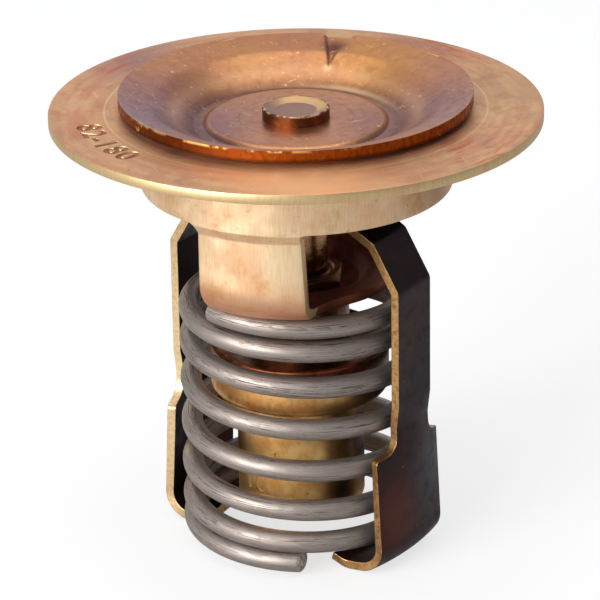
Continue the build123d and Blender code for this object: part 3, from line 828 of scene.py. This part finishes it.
bracket = make_piece("stirrup_strip", stirrup(), "valve", [stirrup_patina(), stirrup_edge()],
                     sharp=40.0, bevel=0.1)
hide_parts("stirrup")


# ==== Main spring ====
# Drawn steel wire coiled left-handed, with closed ends. The top end is ground flat against the floor. The
# bottom end is cut square. The wire is grey, with dark lines that the drawing die has left along it.
WIRE_RADIUS = 1.2
WIRE_SIDES = 28
WIRE_RINGS = 760
COIL_RADIUS = 12.25
SPRING_TOP = -18.6
TURN_STOPS = np.array([0.861, 1, 2, 3, 4, 5, 6, 7, 8])
HEIGHT_STOPS = np.array([-19.62, -19.98, -22.75, -27, -32, -37, -41.8, -45.75, -48.15])
END_SLOPE = -2.42
END_SIZES = [0.0, 0.86, 1.0]
END_ROUNDING = 0.12
SHEAR_HOLLOW = 0.55


def drawn_wire():
    """Grey wire with its own coordinates along it and round it: die lines are noise stretched along it."""
    material, tree = metal("drawn_wire", 0.85)
    own = add(tree, "Attribute", attribute_name="wire_place", attribute_type="GEOMETRY")

    def lines(along, round_it, low, high):
        """Noise of the wire's own place, scaled along it and round it, and eased from low to high."""
        place = add(tree, "Mapping", {"Vector": own.outputs["Vector"],
                    "Scale": (along, round_it, round_it)})
        return eased(noise(tree, place.outputs[0], Scale=1.0, Detail=5.0, Roughness=0.7), low, high)

    dark = both(lines(0.2, 10.0, 0.5, 0.6), lines(0.06, 1.5, 0.42, 0.56))
    colour = blend_colour(lines(0.25, 20, 0.38, 0.7), tone(172, 161, 152), tone(142, 130, 124))
    colour = coated(colour, (dark, 0.85, (60, 48, 44)))
    return dressed(material, colour, blend_value(dark, 0.5, 0.65), dark, -0.01)


def sheared_steel():
    """The wire's cut end: bright, with the crumbled texture of a break."""
    material, tree = metal("sheared_steel")
    crumbs = blotches(tree, 1500, 0.35, 0.65, 19)
    colour = blend_colour(crumbs, tone(236, 228, 220), tone(150, 134, 124))
    return dressed(material, colour, blend_value(crumbs, 0.4, 0.6), crumbs, 0.1)


def main_spring():
    """Tube round the coil line, whose angle is 360 x (t - 8) - 90 degrees t turns down. Its height is a
    smooth cubic through the turn heights: with u from 0 to 1 between two stops, h0 (2u^3 - 3u^2 + 1) + s0
    (u^3 - 2u^2 + u) + h1 (3u^2 - 2u^3) + s1 (u^3 - u^2). Smaller rings at the same place close the ends."""
    turns = np.linspace(TURN_STOPS[0], TURN_STOPS[-1], WIRE_RINGS)
    slopes = np.gradient(HEIGHT_STOPS, TURN_STOPS)
    slopes[:2] = slopes[-1] = END_SLOPE
    cell = np.clip(np.searchsorted(TURN_STOPS, turns) - 1, 0, len(TURN_STOPS) - 2)
    gap = np.diff(TURN_STOPS)[cell]
    u = (turns - TURN_STOPS[cell]) / gap
    height = ((2 * u**3 - 3 * u**2 + 1) * HEIGHT_STOPS[cell] + (u**3 - 2 * u**2 + u) * gap * slopes[cell]
              + (3 * u**2 - 2 * u**3) * HEIGHT_STOPS[cell + 1] + (u**3 - u**2) * gap * slopes[cell + 1])
    angle = 2 * math.pi * (turns - 8) - math.pi / 2
    path = about_axis(COIL_RADIUS, angle, height)
    along = np.gradient(path, axis=0)
    along /= np.linalg.norm(along, axis=1)[:, None]
    outward = about_axis(1.0, angle, 0.0)
    upward = np.cross(along, outward)
    upward /= np.linalg.norm(upward, axis=1)[:, None] * np.sign(upward[0, 2])
    last = WIRE_RINGS - 1
    ring = np.concatenate([[0] * 3, np.arange(1, last), [last] * 3])
    size = np.concatenate([END_SIZES, np.ones(last - 1), END_SIZES[::-1]])[:, None, None]
    step = np.zeros((len(ring), 1))
    step[2], step[-3] = END_ROUNDING, -END_ROUNDING
    turn = np.linspace(0, 2 * math.pi, WIRE_SIDES, endpoint=False)
    cos, sin = np.cos(turn), np.sin(turn)
    hollow = np.where(ring == last, SHEAR_HOLLOW, 0.0)[:, None] * size[..., 0] * cos
    spoke = cos[:, None] * outward[ring][:, None] + sin[:, None] * upward[ring][:, None]
    grid = path[ring][:, None] + along[ring][:, None] * (step - hollow)[..., None]
    grid += spoke * WIRE_RADIUS * size
    grid[..., 2] = np.minimum(grid[..., 2], SPRING_TOP)
    travel = np.broadcast_to(travel_along(path)[ring][:, None], grid.shape[:2])
    wire_place = np.stack([travel, *np.broadcast_arrays(cos, sin, travel)[:2]], axis=-1)
    i, j = np.indices((len(ring) - 1, WIRE_SIDES)).reshape(2, -1)
    faces = ring_quads(i, j, len(ring), WIRE_SIDES)[:, [0, 3, 2, 1]]
    return (grid.reshape(-1, 3), faces, (i >= len(ring) - 3).astype(int)), wire_place.reshape(-1, 3)


# A welded point finds its place on the wire by its rounded position, and has 0 where the two round apart.
coil, wire_place = main_spring()
spring = make_piece("coiled_spring", coil, "housing", [drawn_wire(), sheared_steel()],
                    sharp=45.0)
place_of = {tuple(np.round(point, 5)): place for point, place in zip(coil[0], wire_place)}
own = [place_of.get(tuple(np.round(np.array(v.co) / MM, 5) + 0.0), (0, 0, 0)) for v in spring.data.vertices]
layer = spring.data.attributes.new("wire_place", "FLOAT_VECTOR", "POINT")
layer.data.foreach_set("vector", np.array(own, dtype=np.float32).ravel())
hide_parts("main_spring")
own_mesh(spring)


# ==== Retaining nut ====
# A thin hexagon nut on the guide's threaded neck, turned from brass bar with a chamfer on top.
# It draws the capsule up against the frame's hub.
NUT_HALF_FLATS = 4.8
NUT_CHAMFER_RADIUS = 4.6
NUT_CHAMFER_SLOPE = 0.6
NUT_BORE = 3.72
NUT_TOP = HUB_TOP + 1.1
NUT_LEAD = 0.25
NUT_TURN = math.radians(-5.0)
NUT_COLUMNS = 144


def retaining_nut():
    """Rows from the bore over the bottom, the flats and the chamfered top. At an angle a from a flat's
    middle the outline is half the width over flats divided by cos(a), and the chamfer lowers the top by the
    excess."""
    angles = np.linspace(0, 2 * math.pi, NUT_COLUMNS, endpoint=False)
    from_flat = (angles + math.pi / 6) % (math.pi / 3) - math.pi / 6
    outline = NUT_HALF_FLATS / np.cos(from_flat)
    rows = [(NUT_BORE, HUB_TOP), (outline, HUB_TOP),
            (outline, NUT_TOP - (outline - NUT_CHAMFER_RADIUS) * NUT_CHAMFER_SLOPE),
            (NUT_CHAMFER_RADIUS, NUT_TOP),
            (4, NUT_TOP), (NUT_BORE, NUT_TOP - NUT_LEAD)]
    grid = np.array([about_axis(radius, angles + NUT_TURN, height) for radius, height in rows])
    i, j = np.indices(grid.shape[:2]).reshape(2, -1)
    return grid.reshape(-1, 3), ring_quads(i, j, *grid.shape[:2])


nut = make_piece("hexagon_nut", retaining_nut(), "housing",
                 [turned_brass("nut_brass", (166, 118, 84), (104, 68, 48), 0.34)], sharp=25, bevel=0.05)
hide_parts("retaining_nut")


# ==== Capsule guide ====
# A turned brass lid for the capsule: threaded neck, collar and flange, with the piston's bore through it.
# The nut clamps its collar up against the frame's hub.
THREAD_RADIUS = 3.7
THREAD_DEPTH = 0.14
THREAD_TOP = -17.9
THREAD_OUTLINE = [(THREAD_RADIUS - THREAD_DEPTH * (n % 2), THREAD_TOP - THREAD_DEPTH * n) for n in range(14)]
COLLAR_OUTLINE = [(THREAD_RADIUS, -19.97), (5.35, -19.97), (5.6, -20.2), (5.6, -27.1), (9.05, -27.1),
                  (9.05, -29.08), (4.2, -29.08), (1.8, -27.1)]

lid = revolved([(1.8, -17.75), (3.5, -17.75)] + THREAD_OUTLINE + COLLAR_OUTLINE)
guide = make_piece("turned_capsule_guide", lid, "housing",
                   [turned_brass("guide_brass", (150, 106, 76), (98, 64, 46), 0.3)], sharp=30)
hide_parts("capsule_guide")


# ==== Capsule cup ====
# A deep drawn brass cup for the wax, its rim crimped over the guide's flange. The brass has aged to a
# mottled gold, the crimp has a coppery film, and small figures are struck low on its left front.
CUP_RADIUS = 7.15
CUP_WIDE_RADIUS = 10.0
CUP_FOOT = -45.4
CUP_SHOULDER = -31.9
CUP_LIP = -26.2
CUP_OUTSIDE = [(0, CUP_FOOT), (CUP_RADIUS, CUP_FOOT), (CUP_RADIUS, CUP_SHOULDER),
               (CUP_WIDE_RADIUS, CUP_SHOULDER), (CUP_WIDE_RADIUS, CUP_LIP), (9.55, CUP_LIP), (8.4, -26.8)]
CUP_BENDS = [0.9, 0.6, 0.9, 0.35, 0.2]
CUP_INSIDE = [(8.4, -27.08), (9.1, -27.08), (9.1, -30.1), (6.25, -30.1), (6.25, -44.5), (0, -44.5)]
CUP_TEXT_START = math.radians(-150.0)
CUP_TEXT_HEIGHT = -42.6


def capsule_brass():
    """Golden below the crimp and coppery on it, mottled, with faint draw marks and small dark pits. It is
    painted darker to both sides and under the shoulder, as painted shade and painted dark reflections."""
    material, tree = metal("capsule_brass", 0.92)
    mottle = blotches(tree, 420, 0.36, 0.66, 12)
    pits = blotches(tree, 1500, 0.62, 0.7, 13)
    draw = placed(tree, STREAKS, Across=20, Along=160, Low=0.35, High=0.7)
    gold = blend_colour(mottle, tone(255, 212, 138), tone(230, 168, 92))
    wide_part = blend_colour(mottle, tone(254, 204, 128), tone(216, 152, 90))
    copper = blend_colour(mottle, tone(186, 108, 70), tone(120, 64, 42))
    colour = blend_colour(height_mask(tree, CUP_SHOULDER - 0.8, CUP_SHOULDER + 0.6), gold, wide_part)
    colour = blend_colour(height_mask(tree, -28.4, -27.2), colour, copper)
    # These dark spots are painted shade and painted dark reflections: down both sides, on the wide part's
    # right and under the front of the shoulder.
    for centre, reach, share in (((7.6, -2.6, -37), 7.4, 1.3), ((4.6, -5.5, -42.6), 4.6, 0.9),
                                 ((-7.6, -2, -38), 5.5, 0.8), ((9.5, -4.5, -30), 9, 1.1),
                                 ((-3, -9, -33.2), 4.2, 0.7), ((4, -9, -33.2), 4.6, 1)):
        colour = coated(colour, (spot_mask(tree, centre, reach), share, (62, 38, 24)))
    colour = coated(colour, (pits, 0.6, (96, 60, 36)))
    rough = blend_value(both(mottle, draw, "ADD"), 0.28, 0.42)
    return dressed(material, colour, rough, mottle, 0.01)


outside = rounded(CUP_OUTSIDE, CUP_BENDS, longest=1, arc_step=0.2)
cup = make_piece("drawn_capsule_cup", revolved(np.concatenate([outside, CUP_INSIDE]), 112), "housing",
                 [capsule_brass()])
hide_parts("capsule_cup")
points, faces = numerals("10", 2.0, 1.3, 0.08, 0.09)
points = about_axis(CUP_RADIUS + points[:, 2], CUP_TEXT_START + points[:, 0] / CUP_RADIUS,
                    CUP_TEXT_HEIGHT + points[:, 1])
cut_away(cup, "cup_punch", points, faces)


# ==== Piston and the pieces inside the capsule ====
# The hardened piston slides in the guide. Under it a chafe disc, a rubber plug and a rubber diaphragm seal in
# the wax. All but the piston are closed in, and each keeps the shape it has in the frame.
def plain_finish(name, colour, metallic, rough, scale):
    """One colour with a slight mottle, for a piece that is hardly seen."""
    material, tree = metal(name, metallic)
    mottle = blotches(tree, scale, 0.35, 0.65, 2.5)
    light = tone(*colour)
    mottled = blend_colour(mottle, light, tuple(c * 0.7 for c in light[:3]) + (1.0,))
    return dressed(material, mottled, blend_value(mottle, rough, rough + 0.1), mottle, 0.003)


for node, finish in (("piston", plain_finish("piston_steel", (206, 206, 210), 1, 0.15, 400)),
                     ("wax_charge", plain_finish("wax", (196, 120, 66), 0.0, 0.5, 300.0)),
                     ("diaphragm", plain_finish("diaphragm_rubber", (40, 38, 38), 0.0, 0.6, 500.0)),
                     ("rubber_plug", plain_finish("plug_rubber", (46, 44, 44), 0.0, 0.6, 500.0)),
                     ("anti_chafe_disc", plain_finish("chafe_disc", (226, 224, 216), 0.0, 0.35, 500.0))):
    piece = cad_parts[node]
    piece.data.materials.clear()
    piece.data.materials.append(finish)


# ==== Floor, lights and camera ====
# A plain white floor under the claws, soft lamps to the front left, above and behind, and a long lens at the
# height from which the disc's top and the capsule both show.
FLOOR_HEIGHT = -49.87
FLOOR_HALF = 3.0
CAMERA_DISTANCE = 400.0
CAMERA_RISE = math.radians(22.68)
CAMERA_AIM = -21.77
CAMERA_ROLL = math.radians(-0.93)
LENS = 215.4
SHIFT = 0.0017


def white_floor():
    """Pale grey for light that bounces. To the camera, and by a part in reflections, it is white with its
    shadow."""
    material, tree = metal("white_floor", 0.0)
    shader = tree.nodes["Principled BSDF"]
    shader.inputs["Roughness"].default_value = 0.9
    path = add(tree, "LightPath").outputs
    mirrored = worked(tree, "ADD", path["Is Glossy Ray"], path["Is Transmission Ray"])
    seen = worked(tree, "ADD", path["Is Camera Ray"], worked(tree, "MULTIPLY", mirrored, 0.2))
    paint = blend_colour(seen, (0.3, 0.3, 0.3, 1), (0.95, 0.95, 0.95, 1))
    tree.links.new(paint, shader.inputs["Base Color"])
    white = add(tree, "Emission", {"Color": (1, 1, 1, 1), "Strength": 1.0})
    mixed = add(tree, "MixShader", {0: worked(tree, "MULTIPLY", seen, 0.72), 1: shader.outputs[0],
                2: white.outputs[0]})
    tree.links.new(mixed.outputs[0], tree.nodes["Material Output"].inputs["Surface"])
    return material


floor_mesh = bpy.data.meshes.new("floor")
floor_mesh.from_pydata([(x * FLOOR_HALF, y * FLOOR_HALF, FLOOR_HEIGHT * MM)
                        for x, y in ((-1, -1), (1, -1), (1, 1), (-1, 1))], [], [(0, 1, 2, 3)])
floor_mesh.materials.append(white_floor())
floor = set_out("floor", floor_mesh)


def soft_lamp(name, place, aim, width, power):
    """A square area lamp at a place, in metres, turned to face a point."""
    light = bpy.data.lights.new(name, "AREA")
    light.energy = power
    light.size = width
    lamp = set_out(name, light)
    lamp.location = place
    away = np.array(place) - np.array(aim)
    flat = math.hypot(away[0], away[1])
    lamp.rotation_euler = (math.atan2(flat, away[2]), 0, math.atan2(away[1], away[0]) + math.pi / 2)


soft_lamp("key_front_left", (-0.5, -0.52, 0.22), (0, 0, -0.02), 0.5, 8)
soft_lamp("back_soft", (-0.1, 1.3, 0.6), (0, 0, 0), 1.6, 4.5)
soft_lamp("top_soft", (0, 0, 1.1), (0, 0, 0), 1.3, 7)

world = bpy.data.worlds.new("studio")
bpy.context.scene.world = world
world.use_nodes = True
ambient = world.node_tree.nodes["Background"]
ambient.inputs["Color"].default_value = (0.9, 0.92, 1.0, 1)
ambient.inputs["Strength"].default_value = 0.33

lens = bpy.data.cameras.new("camera")
lens.lens = LENS
lens.sensor_width = 36.0
lens.shift_x = SHIFT
lens.clip_start = 0.01
camera = set_out("camera", lens)
camera.location = (0, -CAMERA_DISTANCE * math.cos(CAMERA_RISE) * MM,
                   (CAMERA_AIM + CAMERA_DISTANCE * math.sin(CAMERA_RISE)) * MM)
level = Matrix.Rotation(math.pi / 2 - CAMERA_RISE, 4, "X")
camera.rotation_euler = (level @ Matrix.Rotation(CAMERA_ROLL, 4, "Z")).to_euler()
bpy.context.scene.camera = camera
bpy.context.scene.view_settings.view_transform = "Standard"
